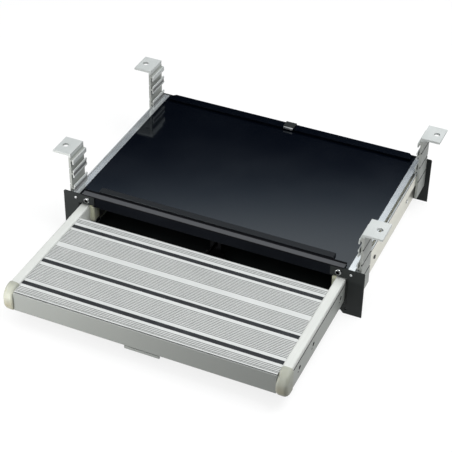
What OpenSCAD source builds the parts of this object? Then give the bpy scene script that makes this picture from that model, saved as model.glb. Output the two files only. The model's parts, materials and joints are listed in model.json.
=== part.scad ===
// Pull-out entrance step for a caravan door.
// A ribbed tread on two tube rails slides out of a flat housing that hangs under the floor
// on four hooked brackets. A finger lever under the nose pushes a rod back to free the latch.
// Drawing frame: x across, y rearwards from the front plates, z up from the tread's top face.
// The finished part is shifted so that its origin is the centre of the four floor bolts.

/* [Tread] */
// Width of the tread between the side rails
tread_w = 550; // [400:1:700]
// Depth of the tread from nose to rear edge
tread_depth = 266; // [250:1:290]
// Gap between the tread's rear edge and the housing when the step is out
tread_gap = 38; // [36:1:60]
// Height of the hollow tread planks
plank_h = 22; // [18:0.5:24]
// Wall of the hollow tread planks
plank_wall = 2.2; // [1.6:0.1:3]
// Depth of the front face below the tread's top
fascia_h = 44; // [40:0.5:46]
// Thickness of the front face
fascia_t = 3; // [2:0.1:4]
// Radius of the nose edge
nose_r = 1.1; // [0.6:0.1:1.3]
// Distance from the nose to the joint between the two planks
plank_joint = 172; // [160:1:180]
// Length of the tongue that joins the planks
tongue_l = 5; // [3:0.5:8]
// Distance between the fine ribs
rib_pitch = 4.2; // [3:0.1:5]
// Depth of the grooves between the ribs
rib_depth = 1; // [0.4:0.1:1.2]

/* [Rubber strips] */
// Distances from the nose to the middle of each strip, front to rear
strip_at = [37, 113, 236]; // [20:1:260]
// Width of a strip
strip_w = 10; // [7:0.5:14]
// Depth of the pocket that holds a strip
strip_seat = 3.4; // [2:0.1:5]
// How far a strip stands above the tread
strip_proud = 0.8; // [0.3:0.1:2]
// Smooth band on each side of a strip
smooth_band = 6; // [4:0.5:9]

/* [Side rails] */
// Width of the rail tube
rail_w = 20; // [16:0.5:30]
// Height of the rail tube
rail_h = 60; // [56:0.5:70]
// Wall of the rail tube
rail_wall = 2; // [1.5:0.1:3]
// Corner radius of the rail tube
rail_r = 4; // [3:0.1:6]
// How far the rail's top stands above the tread
rail_rise = 5; // [3:0.5:8]
// Length of rail that stays in the housing when the step is out
rail_tail = 95; // [90:1:100]
// How far the rail's front end lies behind the nose
rail_setback = 25; // [22:1:30]
// Length of the nylon shoe behind the rail
shoe_l = 30; // [20:1:32]
// How far the end cap stands in front of the nose
cap_front = 8; // [4:0.5:12]

/* [Tie bars] */
// Depth of a tie bar
bar_w = 24; // [20:0.5:28]
// Height of a tie bar
bar_h = 16; // [14:0.5:18]
// Wall of a tie bar
bar_wall = 2; // [1.5:0.1:3]
// Distances from the nose to the tie bars under the tread
bar_at = [62.5, 132.5]; // [55:0.5:160]

/* [Housing] */
// Length of the housing over the end plates
housing_l = 435; // [432:1:500]
// Slide travel of the step, from fully out to fully in
travel = 276; // [250:1:276]
// Thickness of the end plates
plate_t = 2.5; // [2:0.1:4]
// Thickness of the cross member sheet
sheet_t = 2.5; // [1.5:0.1:3]
// Thickness of the cover and of the tray
cover_t = 2; // [1.2:0.1:3]
// Wall of the guide rail extrusion
guide_wall = 3; // [2:0.1:3.5]
// Gap between rail and guide at the outer side
side_gap = 4.5; // [4:0.1:6]
// Gap above the rail in the guide
top_gap = 3.5; // [3:0.1:6]
// Gap under the rail in the guide
bottom_gap = 4.5; // [4:0.1:6]
// Height of the tray chamber under the rail channel
chamber_h = 13.5; // [12:0.5:18]
// Height of the guide above the rail channel
guide_head = 20; // [19:0.5:24]
// Width of the hollow box beside the web
box_w = 8.5; // [8:0.5:12]

/* [Brackets] */
// Height of the bracket's flange above the tread
flange_rise = 116.5; // [105:0.5:150]
// Length of a bracket along the guide
bracket_l = 55; // [40:1:70]
// Width of the bracket's flange
flange_w = 41; // [36:0.5:50]
// Wall of the bracket extrusion
bracket_t = 5; // [4:0.1:6]
// Distance from the web's inner face to the bolt hole
hole_out = 26; // [20:0.5:30]
// Diameter of the bolt hole
hole_d = 13; // [8:0.5:14]
// Height step between the hooking ribs
hook_pitch = 37; // [34:0.5:38]
// Distance from the housing's front to the front brackets
bracket_inset = 10; // [5:0.5:40]

/* [Release] */
// Width of the finger lever
lever_w = 78; // [60:1:110]
// Thickness of the finger lever
lever_t = 2.5; // [2:0.1:3]
// How far the lever's pivot lies behind the nose
pivot_back = 8; // [7.8:0.1:12]
// Depth of the lever's pivot below the tread
pivot_drop = 40; // [39:0.5:42]
// Depth of the lever's lower edge below the tread
lever_drop = 54; // [50:0.5:58]
// Diameter of the push rod
rod_d = 6; // [5:0.1:7]
// Depth of the push rod below the tread
rod_drop = 30; // [29:0.5:31]
// Diameter of the lever's pin
pin_d = 5; // [4:0.1:5.5]
// Wire of the return spring
spring_wire = 1.2; // [0.8:0.1:1.6]
// Curls of the return spring
spring_curls = 8; // [5:1:10]
// Thickness of the latch spring
leaf_t = 1.2; // [0.8:0.1:1.6]
// Width of the latch spring
leaf_w = 24; // [18:1:36]

/* [Hidden] */
$fn = 48;

// Clearances: loose pieces, plugs and tongues, running fits and fixed pins
loose = 0.3;
slip = 0.2;
running = 0.07;
close = 0.02;
over = 1;

// Finishes
alloy = "silver";
black = [0.09, 0.1, 0.12];
ivory = [0.83, 0.83, 0.74];
rubber = [0.16, 0.17, 0.18];
steel = [0.55, 0.56, 0.57];

// Across: rail, guide and bracket, from the middle outwards
rail_in = tread_w / 2;
rail_out = rail_in + rail_w;
web_in = rail_out + side_gap;
web_out = web_in + guide_wall;
box_out = web_out + box_w;
bead_in = box_out + 3.9;
bead_out = bead_in + 2.7;
hook_in = bead_in - loose - 3;
bracket_in = bead_out + 0.4;
bracket_out = bracket_in + bracket_t;
plate_out = bracket_out + 10.5;
flat_lip = 1.5;
ledge_w = 13.5;

// Up: rail, guide and bracket
lip_t = 2.5;
rail_top = rail_rise;
rail_bot = rail_top - rail_h;
chan_top = rail_top + top_gap;
chan_bot = rail_bot - bottom_gap;
guide_top = chan_top + guide_head;
guide_bot = chan_bot - 2 * lip_t - chamber_h;
cover_top = guide_top - 0.5;
cover_bot = cover_top - cover_t;
shelf_z = chan_top + 1;
bead_top = guide_top - 2.8;
bead_line = bead_top - 2;
hook_t = 3.4;
hook_h = 18;
hook_tail = 34.5;
hook_mid = guide_top + 3;
bead_bot = hook_mid - hook_pitch + hook_t / 2 + loose;
bracket_bot = hook_mid - hook_pitch - hook_tail;
plate_top = guide_top + 1;
plate_bot = guide_bot - 2.7;
member_top = plate_top + 0.2 + sheet_t;
member_low = 4;
tray_z = guide_bot + lip_t;
tray_top = tray_z + cover_t;

// Ends of the housing
member_y = plate_t;
member_flange = 18.5;
rear_flange = 22;
rail_slit = 2.6;
member_fold = 12;
member_fold_inset = 30;
tray_lip_inset = 25;
member_half = web_in - 9.5;
notch_half = rail_in - 7;
back_y = housing_l - plate_t;
guide_notch = 24;
bush_inset = 12;
bush_tail = 21;
bush_back = guide_notch + bush_tail;
cover_strip_inset = 15;
cover_strip_gap = 1.2;
cover_strip_w = 17;
cover_strip_h = 6.2;
screw_front = 163;
screw_rear = 59;

// Screw ports of the guide, and screws of the end plates
port_r = 1.9;
upper_port = [web_out + (box_w - guide_wall) / 2, guide_top - 9.5];
lower_port = [web_out - 3.6, chan_bot - lip_t - chamber_h / 2 - 0.2];
arm_in = rail_in - 13;
arm_screw = [rail_in + 4, guide_top - 9.8];

// Along: the sliding frame at rest, fully out
tread_back = -tread_gap;
nose_y = tread_back - tread_depth;
rail_front = nose_y + rail_setback;
rear_bar_y = tread_back + 13.7;
latch_bar_inset = 23;
latch_bar_y = rail_tail - latch_bar_inset;
bar_top = -plank_h;
bar_bot = bar_top - bar_h;
bar_ys = [nose_y + bar_at[0], nose_y + bar_at[1], rear_bar_y, latch_bar_y];
bar_port_z = bar_top - 5;
bar_port_off = 3.5;
screw_r = 2.5;
block_w = 10;
block_y = member_y + sheet_t + loose;
block_l = 21;
block_drop = 38;
block_screw_y = block_y + block_l / 2;
bar_screw_reach = 14;
block_screw_reach = block_w - 3;
rail_screw_ys = concat([for (y = bar_ys) y + bar_port_off], [block_screw_y]);

// Release mechanism
pivot_y = nose_y + pivot_back;
rod_z = -rod_drop;
pivot_z = -pivot_drop;
rod_tip_y = pivot_y + lever_t / 2 + 0.7;
bar_edge = latch_bar_y - bar_w / 2;
rod_end_y = bar_edge - 8;
collar_y = rod_tip_y + 6;
collar_l = 3;
collar_r = rod_d / 2 + 3;
spring_y = collar_y + collar_l + loose;
spring_end = bar_ys[0] - bar_w / 2 - loose;
hanger_x = lever_w / 2 + 1.5;
hanger_t = 3;
hanger_foot_w = 18;
hanger_foot_l = 25;

// Latch: middle line of the spring, from the rivets to the nose
leaf_z = bar_top + leaf_t / 2;
leaf_reach = 42;
latch_y = latch_bar_y - leaf_reach;
keeper_h = 24;
keeper_top = tray_top + keeper_h;
nose_tip = keeper_top - 7;
leaf_line = [[latch_bar_y + bar_w / 2, leaf_z], [bar_edge - 0.5, leaf_z], [bar_edge - 6, leaf_z - 4],
    [bar_edge - 12, leaf_z], [latch_y + 9, leaf_z], [latch_y + 6, leaf_z - 3], [latch_y + 6, nose_tip + 11],
    [latch_y, nose_tip], [latch_y - 6, nose_tip + 11]];

// Brackets and mount
front_bracket_y = bracket_inset;
rear_bracket_y = back_y - loose - bracket_l;
mount_y = (front_bracket_y + rear_bracket_y + bracket_l) / 2;

// Shared shapes

module to_mount() { translate([0, -mount_y, -flange_rise]) children(); }

// Left pieces are the right ones mirrored
module side(s) { mirror([s < 0 ? 1 : 0, 0, 0]) children(); }

// Extrudes an outline drawn in x and z along y
module along_y(y0, y1) { translate([0, y1, 0]) rotate([90, 0, 0]) linear_extrude(y1 - y0) children(); }

// Extrudes an outline drawn in y and z along x
module along_x(x0, x1) { translate([x0, 0, 0]) rotate([90, 0, 90]) linear_extrude(x1 - x0) children(); }

module rect(x0, y0, x1, y1) { translate([x0, y0]) square([x1 - x0, y1 - y0]); }

module block(low, high) { translate(low) cube(high - low); }

// Round bar along x, y or z
module bar_x(x0, x1, y, z, r) { translate([x0, y, z]) rotate([0, 90, 0]) cylinder(h = x1 - x0, r = r); }
module bar_y(y0, y1, x, z, r) { translate([x, y1, z]) rotate([90, 0, 0]) cylinder(h = y1 - y0, r = r); }
module bar_z(z0, z1, x, y, r) { translate([x, y, z0]) cylinder(h = z1 - z0, r = r); }

// Rectangle with a radius at each corner: low left, low right, top right, top left
module soft_rect(x0, y0, x1, y1, r) {
    corners = [[x0, y0, 1, 1], [x1, y0, -1, 1], [x1, y1, -1, -1], [x0, y1, 1, -1]];
    difference() {
        rect(x0, y0, x1, y1);
        for (i = [0 : 3]) if (r[i] > 0) {
            c = corners[i];
            translate([c[0], c[1]]) scale([c[2], c[3]]) difference() {
                rect(-over, -over, r[i], r[i]);
                translate([r[i], r[i]]) circle(r[i]);
            }
        }
    }
}

// Offsets a line of points sideways, with mitred corners
function unit(v) = v / norm(v);
function turn(v) = [-v[1], v[0]];
function step_dir(p, i) = unit(p[min(i + 1, len(p) - 1)] - p[min(i, len(p) - 2)]);
function shifted(p, d) = [for (i = [0 : len(p) - 1])
    let (a = turn(step_dir(p, max(i - 1, 0))), b = turn(step_dir(p, i)), m = unit(a + b))
    p[i] + m * d / max(m * a, 0.3)];
module band(p, t) {
    far = shifted(p, -t / 2);
    polygon(concat(shifted(p, t / 2), [for (i = [len(p) - 1 : -1 : 0]) far[i]]));
}

// Housing

module guide_profile() {
    line_h = 2.6;
    line_d = 1.2;
    difference() {
        union() {
            rect(web_in, guide_bot, web_out, guide_top);
            rect(web_in - flat_lip, guide_top - guide_wall, box_out, guide_top);
            rect(box_out - guide_wall, shelf_z, box_out, guide_top);
            rect(web_out - over, shelf_z, bead_out, shelf_z + guide_wall);
            rect(web_in - ledge_w, cover_bot - lip_t, web_in + over, cover_bot);
            rect(rail_in + 4, chan_top, web_in + over, chan_top + lip_t);
            rect(rail_in + 1, chan_bot - lip_t, web_in + over, chan_bot);
            rect(rail_in + 1, guide_bot, web_in + over, guide_bot + lip_t);
            soft_rect(bead_in, bead_bot, bead_out, bead_top, [0.5, 0.5, 1.3, 1.3]);
            translate(upper_port) circle((box_w - guide_wall) / 2 + 0.4);
            translate(lower_port) circle(3.6);
        }
        translate(upper_port) circle(port_r);
        translate(lower_port) circle(port_r);
        rect(bead_out - line_d, bead_line - line_h, bead_out + over, bead_line);
    }
}

strip_screw_ys = [screw_front, housing_l - screw_rear];
strip_screw_z = chan_bot + 7;

module guide_rail(s) {
    color(alloy) to_mount() side(s) difference() {
        along_y(plate_t, back_y) guide_profile();
        for (y0 = [0, housing_l - guide_notch])
            block([rail_in - over, y0, chan_top - over],
                [web_in - flat_lip - 0.1, y0 + guide_notch, cover_bot + 0.1]);
        for (y = strip_screw_ys) bar_x(web_in - over, web_out + over, y, strip_screw_z, 2.3);
    }
}

module cover_plate() {
    half = web_in - flat_lip - loose;
    color(black) to_mount()
        block([-half, member_y + sheet_t + over, cover_bot], [half, back_y - sheet_t - over, cover_top]);
}

// Raised lip on the cover, just behind the front flange
module cover_strip() {
    half = rail_in - cover_strip_inset;
    front = member_flange + cover_strip_gap;
    color(black) to_mount() along_x(-half, half)
        soft_rect(front, cover_top, front + cover_strip_w, cover_top + cover_strip_h, [0, 0, 2.5, 1]);
}

module member_face(low) {
    polygon([[-member_half, member_top - over], [member_half, member_top - over], [member_half, chan_top],
        [notch_half, chan_top], [notch_half, low], [-notch_half, low], [-notch_half, chan_top],
        [-member_half, chan_top]]);
}

// Top flange with clipped rear corners
module member_flange_plan(depth) {
    clip = 8;
    polygon([[-member_half, 0], [member_half, 0], [member_half, depth - clip], [member_half - clip, depth],
        [clip - member_half, depth], [-member_half, depth - clip]]);
}

module front_cross_member() {
    color(black) to_mount() difference() {
        union() {
            along_y(member_y, member_y + sheet_t) member_face(member_low);
            along_x(-member_half, member_half)
                soft_rect(0, member_top - sheet_t, member_flange, member_top, [0, 0, 0, 1.2]);
            block([member_fold_inset - rail_in, member_y, member_low],
                [rail_in - member_fold_inset, member_y + member_fold, member_low + sheet_t]);
        }
        for (s = [-1, 1]) bar_y(-over, 10, s * arm_screw[0], arm_screw[1], 3.2);
    }
}

module rear_cross_member() {
    color(black) to_mount() difference() {
        union() {
            along_y(back_y - sheet_t, back_y) member_face(tray_top);
            translate([0, rear_front, member_top - sheet_t]) linear_extrude(rear_top - member_top + sheet_t)
                member_flange_plan(rear_flange);
        }
        for (s = [-1, 1]) bar_y(back_y - 10, back_y + over, s * arm_screw[0], arm_screw[1], 3.2);
    }
}

module bottom_tray() {
    half = web_in - loose;
    lip_half = rail_in - tray_lip_inset;
    front = plate_t + loose;
    color(black) to_mount() {
        block([-half, front, tray_z], [half, back_y - loose, tray_top]);
        block([-lip_half, front, tray_top - 0.5], [lip_half, front + cover_t, tray_top + 8]);
    }
}

module end_plate_outline() {
    tip = 2;
    clip = 6;
    low_in = lower_port[0] - 9;
    edge = rail_out + rail_slit;
    difference() {
        polygon([[plate_out, plate_bot], [plate_out, plate_top - tip], [plate_out - tip, plate_top],
            [arm_in, plate_top], [arm_in, chan_top], [edge, chan_top], [edge, chan_bot + 1.5],
            [low_in, chan_bot + 1.5], [low_in, plate_bot + clip], [low_in + clip - 1, plate_bot]]);
        translate(lower_port) circle(2.6);
        translate(upper_port) circle(2.1);
        translate(arm_screw) circle(3.2);
    }
}

module front_plate(s) { color(black) to_mount() side(s) along_y(0, plate_t) end_plate_outline(); }
module rear_plate(s) { color(black) to_mount() side(s) along_y(back_y, housing_l) end_plate_outline(); }

// Nylon liner round the rail at the mouth of the guide
module front_bush(s) {
    color(black) to_mount() side(s) along_y(plate_t + bush_inset, bush_back) difference() {
        rect(rail_in + 1, chan_bot, web_in, chan_top);
        rect(rail_in - over, rail_bot - loose, rail_out + loose, rail_top + loose);
    }
}

// Nylon angle that the shoe runs on
strip_t = 2;
module wear_strip(s) {
    color(ivory) to_mount() side(s) difference() {
        along_y(bush_back + over, back_y - 3) {
            rect(rail_in + 2.5, chan_bot, web_in, chan_bot + strip_t);
            rect(web_in - strip_t, chan_bot, web_in, chan_bot + 14);
        }
        for (y = strip_screw_ys) bar_x(web_in - strip_t - over, web_in + over, y, strip_screw_z, 2.2);
    }
}

module wear_strip_screws() {
    color(steel) to_mount() for (s = [-1, 1]) side(s) for (y = strip_screw_ys) {
        bar_x(web_out, web_out + 2, y, strip_screw_z, 4.5);
        bar_x(web_in - strip_t + 0.3, web_out + 0.5, y, strip_screw_z, 2);
    }
}

module button_screw() {
    head_r = 7;
    head_h = 3.6;
    difference() {
        union() {
            rotate_extrude() soft_rect(0, 0, head_r, head_h, [0, 0, 3, 0]);
            translate([0, 0, -11]) cylinder(h = 11.5, r = 2.9);
        }
        translate([0, 0, head_h - 2.4]) cylinder(h = 4, r = 2.9, $fn = 6);
    }
}

module end_plate_screws() {
    color(steel) to_mount() for (s = [-1, 1]) side(s) {
        translate([arm_screw[0], 0, arm_screw[1]]) rotate([90, 0, 0]) button_screw();
        translate([arm_screw[0], housing_l, arm_screw[1]]) rotate([-90, 0, 0]) button_screw();
    }
}

module end_plate_rivets() {
    color(steel) to_mount() for (s = [-1, 1]) side(s) for (e = [[0, -1], [housing_l, 1]])
        translate([upper_port[0], e[0], upper_port[1]]) rotate([-90 * e[1], 0, 0]) {
            rotate_extrude() soft_rect(0, 0, 2.9, 1.4, [0, 0, 1.2, 0]);
            translate([0, 0, -9]) cylinder(h = 9.5, r = port_r - slip);
        }
}

// Tongue and clip at the middle of the rear flange
catch_x = 4.9;
catch_half = 10.9;
catch_t = 1.6;
clip_t = 1.3;
rear_top = member_top + 0.8;
rear_front = housing_l - rear_flange;
module rear_catch() {
    color(steel) to_mount() along_x(catch_x - catch_half, catch_x + catch_half) {
        rect(rear_front - catch_t, rear_top, back_y - 6, rear_top + catch_t);
        rect(rear_front - catch_t, rear_top - 2, rear_front, rear_top + catch_t);
    }
}

module rear_catch_clip() {
    half = catch_half + 1.4;
    top = rear_top + catch_t;
    back = housing_l + clip_t;
    color(black) to_mount() along_x(catch_x - half, catch_x + half) {
        soft_rect(rear_front + 3.5, top, back, top + clip_t, [0, 0, 1, 0.6]);
        soft_rect(housing_l, rear_top - 20, back, top + clip_t, [0.5, 0.5, 1, 0]);
    }
}

// Nylon block on the tray with the notch for the latch
module keeper(y_shift) {
    half = leaf_w / 2 + 8;
    color(black) to_mount() along_x(-half, half) translate([latch_y + y_shift, 0])
        polygon([[-14, tray_top], [14, tray_top], [14, tray_top + 3], [8, keeper_top], [5.2, keeper_top],
            [0, nose_tip - 3.5], [-5.2, keeper_top], [-8, keeper_top], [-14, tray_top + 3]]);
}

// Brackets

// Rib with a hooked head, grooved along the middle
module hook_rib(z) {
    groove = 4;
    rect(hook_in + 2, z - hook_t / 2, bracket_in + over, z + hook_t / 2);
    difference() {
        soft_rect(hook_in, z - hook_h / 2, hook_in + 3, z + hook_h / 2, [1, 1, 1, 1]);
        rect(hook_in - over, z - groove, hook_in + 1.2, z + groove);
    }
}

module bracket_profile() {
    top_rib = flange_rise - 14;
    groove_rise = 8.4;
    groove_h = 3.6;
    groove_d = 1.6;
    difference() {
        union() {
            soft_rect(bracket_in, bracket_bot, bracket_out, flange_rise, [1, 1, 0, 0]);
            soft_rect(bracket_in, flange_rise - bracket_t, bracket_in + flange_w, flange_rise,
                [0, 1, 1, 0.8]);
            rect(hook_in + over, top_rib - hook_t, bracket_in + over, top_rib);
            soft_rect(hook_in, top_rib - 11, hook_in + 3, top_rib, [1, 1, 0, 1]);
            for (k = [-1 : 1]) hook_rib(hook_mid + k * hook_pitch);
        }
        for (k = [-1 : 1]) translate([bracket_out - groove_d, hook_mid + k * hook_pitch + groove_rise])
            square([groove_d + over, groove_h]);
    }
}

module bracket(s, y0) {
    color(alloy) to_mount() side(s) difference() {
        along_y(y0, y0 + bracket_l) bracket_profile();
        bar_z(flange_rise - bracket_t - over, flange_rise + over,
            bracket_in + hole_out, y0 + bracket_l / 2, hole_d / 2);
    }
}

// Sliding frame

module rail_section(gap) {
    r = max(rail_r - gap, 0.5);
    soft_rect(rail_in + gap, rail_bot + gap, rail_out - gap, rail_top - gap, [r, r, r, r]);
}

module side_rail(s) {
    groove_d = 1.2;
    groove_h = 5;
    groove_top = rail_top - 10;
    small_drop = 6;
    tool_hole_r = 5;
    inner_air = rail_out - rail_w / 2;
    color(alloy) to_mount() side(s) difference() {
        along_y(rail_front, rail_tail) difference() {
            rail_section(0);
            rail_section(rail_wall);
            rect(rail_out - groove_d, groove_top - groove_h, rail_out + over, groove_top);
        }
        for (y = rail_screw_ys) {
            bar_x(rail_in - over, inner_air, y, bar_port_z, screw_r + loose);
            bar_x(inner_air, rail_out + over, y, bar_port_z, tool_hole_r);
        }
        for (y = bar_ys) bar_x(inner_air, rail_out + over, y - bar_port_off, bar_port_z - small_drop, 2.4);
    }
}

// Groove in the top at a distance from the nose, as points from front to rear
function cut(u, w, d) = [[u, 0], [u + 0.2, -d], [u + w - 0.2, -d], [u + w, 0]];

// Ribbed top between two distances from the nose
rib_cut = rib_pitch * 0.45;
function ribs(u0, u1) = let (n = floor((u1 - u0) / rib_pitch),
    lead = (u1 - u0 - n * rib_pitch + rib_pitch - rib_cut) / 2)
    [for (k = [0 : n - 1]) each cut(u0 + lead + k * rib_pitch, rib_cut, rib_depth)];

strip_band = strip_w / 2 + smooth_band;
joint_band = 6;
function round_nose(n) = [for (k = [0 : n]) let (a = 180 - 90 * k / n)
    [nose_r + nose_r * cos(a), -nose_r + nose_r * sin(a)]];

module pocket(grow) {
    for (u = strip_at) rect(u - strip_w / 2 - grow, -strip_seat - grow, u + strip_w / 2 + grow, over);
}

// Hollow cells between two distances from the nose, with webs between them
module cells(u0, u1, count) {
    w = (u1 - u0 - (count - 1) * plank_wall) / count;
    difference() {
        for (k = [0 : count - 1]) translate([k * (w + plank_wall), 0])
            soft_rect(u0, plank_wall - plank_h, u0 + w, -plank_wall, [1, 1, 1, 1]);
        pocket(plank_wall);
    }
}

tongue_low = -plank_h / 2 - 2;
tongue_high = -plank_h / 2 + 2;

module front_plank_profile() {
    edge_cut = [1.4, 2.8, 2];
    land_cut = [7.5, 1.4, 1.2];
    top = concat(round_nose(4), cut(edge_cut[0], edge_cut[1], edge_cut[2]),
        cut(land_cut[0], land_cut[1], land_cut[2]),
        ribs(land_cut[0] + land_cut[1], strip_at[0] - strip_band),
        ribs(strip_at[0] + strip_band, strip_at[1] - strip_band),
        ribs(strip_at[1] + strip_band, plank_joint - joint_band), [[plank_joint, 0]]);
    difference() {
        polygon(concat([[fascia_t, -fascia_h], [0.5, -fascia_h], [0, -fascia_h + 1]], top,
            [[plank_joint, tongue_high], [plank_joint + tongue_l, tongue_high],
            [plank_joint + tongue_l, tongue_low], [plank_joint, tongue_low],
            [plank_joint, -plank_h], [fascia_t, -plank_h]]));
        cells(fascia_t + plank_wall, plank_joint - plank_wall, 4);
        pocket(0);
    }
}

module rear_plank_profile() {
    top = concat([[plank_joint, 0]], ribs(plank_joint + joint_band, strip_at[2] - strip_band),
        ribs(strip_at[2] + strip_band, tread_depth - 3), [[tread_depth - 1, 0], [tread_depth, -1]]);
    slot = tongue_l + slip;
    difference() {
        polygon(concat([[plank_joint, -plank_h], [plank_joint, tongue_low - slip],
            [plank_joint + slot, tongue_low - slip], [plank_joint + slot, tongue_high + slip],
            [plank_joint, tongue_high + slip]], top, [[tread_depth, -plank_h]]));
        cells(plank_joint + slot + plank_wall, tread_depth - plank_wall, 2);
        pocket(0);
    }
}

module plank() { to_mount() along_x(-rail_in, rail_in) translate([nose_y, 0]) children(); }
module tread_front_plank() { color(alloy) plank() front_plank_profile(); }
module tread_rear_plank() { color(alloy) plank() rear_plank_profile(); }

// Rubber insert with a grooved top
module rubber_strip(i) {
    half = strip_w / 2 - 0.1;
    grooves = 3;
    color(rubber) plank() translate([strip_at[i], 0]) difference() {
        soft_rect(-half, -strip_seat, half, strip_proud, [0, 0, 0.7, 0.7]);
        for (k = [1 : grooves]) translate([-half + 2 * half * k / (grooves + 1), strip_proud]) circle(0.45);
    }
}

// Bullnose cap, round at the front, with a plug in the rail
module end_cap(s) {
    proud = 0.8;
    front = nose_y - cap_front;
    collar = 5;
    plug = 16;
    ball_r = (rail_w + proud) / 2;
    ball_x = rail_in + ball_r;
    chin = 3;
    run = (rail_front - front - chin - 2) / 2;
    color(ivory) to_mount() side(s) {
        hull() {
            along_y(rail_front - collar, rail_front)
                soft_rect(rail_in, rail_bot - proud, rail_out + proud, rail_top + proud, [4, 5, 5, 3]);
            for (b = [[front, rail_top - 4], [front + chin, rail_bot + 2 * ball_r + 5]])
                translate([ball_x, b[0] + run, b[1] - ball_r]) scale([1, run / ball_r, 1]) sphere(ball_r);
        }
        along_y(rail_front - over, rail_front + plug) rail_section(rail_wall + slip);
    }
}

// Square tie bar with a screw port along it and, under the tread, a bore for the rod
module tie_bar(y, bored) {
    color(alloy) to_mount() difference() {
        along_x(-rail_in, rail_in) translate([y, 0]) difference() {
            union() {
                difference() {
                    rect(-bar_w / 2, bar_bot, bar_w / 2, bar_top);
                    rect(bar_wall - bar_w / 2, bar_bot + bar_wall, bar_w / 2 - bar_wall, bar_top - bar_wall);
                }
                translate([bar_port_off, bar_port_z]) circle(screw_r + 2.2);
            }
            translate([bar_port_off, bar_port_z]) circle(screw_r + loose);
        }
        if (bored) bar_y(y - bar_w, y + bar_w, 0, rod_z, rod_d / 2 + running);
        if (!bored) for (x = latch_rivet_xs) bar_z(bar_top - bar_wall - over, bar_top + over, x, y, 2.2);
    }
}

// Pan head screws inside the rails, into the tie bars and the stop blocks
module rail_screws() {
    inner = rail_in + rail_wall;
    color(steel) to_mount() for (s = [-1, 1]) side(s)
        for (y = rail_screw_ys) {
            bar_x(inner, inner + 3, y, bar_port_z, 4.4);
            bar_x(rail_in - (y == block_screw_y ? block_screw_reach : bar_screw_reach), inner + 0.5,
                y, bar_port_z, screw_r);
        }
}

// Nylon block on the rail's inner face that stops against the front cross member
module stop_block(s) {
    inner = rail_in - block_w;
    low = rail_top - block_drop;
    color(ivory) to_mount() side(s) difference() {
        union() {
            translate([0, 0, low]) linear_extrude(member_low - 1 - low)
                soft_rect(inner, block_y - 2, rail_in, block_y + block_l, [4, 0, 0, 2]);
            block([inner + 1, block_y, low + over], [rail_in, block_y + block_l - 4, chan_top + 1.5]);
        }
        bar_x(rail_in - block_screw_reach - over, rail_in + over, block_screw_y, bar_port_z,
            screw_r + loose);
    }
}

// Nylon shoe behind the rail, with a plug in its end
module rear_shoe(s) {
    plug = 13;
    color(ivory) to_mount() side(s) {
        along_y(rail_tail, rail_tail + shoe_l) soft_rect(rail_in + 0.8, chan_bot + strip_t + loose,
            web_in - strip_t - loose, chan_top - loose, [2, 2, 2, 2]);
        along_y(rail_tail - plug, rail_tail + over) rail_section(rail_wall + slip);
    }
}

// Release

module lever_hangers() {
    color(steel) to_mount() for (s = [-1, 1]) side(s) difference() {
        union() {
            along_x(hanger_x, hanger_x + hanger_t)
                soft_rect(pivot_y - 4.5, pivot_z - 5, pivot_y + 8, bar_top, [3, 3, 0, 0]);
            block([hanger_x, pivot_y - 4.5, bar_top - hanger_t],
                [hanger_x + hanger_foot_w, pivot_y + hanger_foot_l, bar_top]);
        }
        bar_x(hanger_x - over, hanger_x + hanger_t + over, pivot_y, pivot_z, pin_d / 2 + close);
    }
}

module lever_pin() {
    reach_x = hanger_x + hanger_t + 2;
    color(steel) to_mount() {
        bar_x(-reach_x, reach_x, pivot_y, pivot_z, pin_d / 2);
        for (s = [-1, 1]) side(s) bar_x(reach_x - 2, reach_x, pivot_y, pivot_z, pin_d / 2 + 1.2);
    }
}

// Finger lever: a tab below the pivot and a thumb above it that pushes the rod
module release_lever() {
    knuckle_r = pin_d / 2 + 1.5;
    root = knuckle_r - 0.7;
    tab_half = lever_w / 2 - 1;
    thumb_half = 10;
    thumb_top = rod_z + rod_d / 2 + 1.2;
    color(alloy) to_mount() difference() {
        union() {
            along_y(pivot_y - lever_t / 2, pivot_y + lever_t / 2) {
                soft_rect(-tab_half, -lever_drop, tab_half, pivot_z - root, [7, 7, 0, 0]);
                soft_rect(-thumb_half, pivot_z + root, thumb_half, thumb_top, [0, 0, 3, 3]);
            }
            bar_x(-lever_w / 2, lever_w / 2, pivot_y, pivot_z, knuckle_r);
        }
        bar_x(-lever_w, lever_w, pivot_y, pivot_z, pin_d / 2 + running);
    }
}

// Push rod with a pointed tip and a collar for its spring
module push_rod() {
    r = rod_d / 2;
    color(steel) to_mount() translate([0, rod_tip_y, rod_z]) rotate([-90, 0, 0]) rotate_extrude()
        polygon([[0, 0], [0.8, 0], [r, 2.4], [r, collar_y - rod_tip_y], [collar_r, collar_y - rod_tip_y],
            [collar_r, collar_y - rod_tip_y + collar_l], [r, collar_y - rod_tip_y + collar_l],
            [r, rod_end_y - rod_tip_y], [0, rod_end_y - rod_tip_y]]);
}

// Wedge on the rod's end that lifts the latch spring
module release_wedge() {
    back = bar_edge - 4;
    color(black) to_mount() difference() {
        along_x(-7, 7) polygon([[rod_end_y - 12, rod_z - 6], [back, rod_z - 6], [back, rod_z + 1.2],
            [back - 11, leaf_z - 1.4], [rod_end_y - 12, leaf_z - 1.4]]);
        bar_y(rod_end_y - 13, rod_end_y, 0, rod_z, rod_d / 2 + close);
    }
}

latch_rivet_xs = [-7, 7];

// Leaf spring with a nose that drops into the keepers, slotted round the rod
module latch_spring() {
    slot = rod_d / 2 + 1.5;
    color(steel) to_mount() difference() {
        along_x(-leaf_w / 2, leaf_w / 2) band(leaf_line, leaf_t);
        block([-slot, latch_y + 3, rod_z - slot], [slot, latch_y + 9, rod_z + slot]);
        for (x = latch_rivet_xs) bar_z(bar_top - over, bar_top + leaf_t + over, x, latch_bar_y, 2.2);
    }
}

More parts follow.
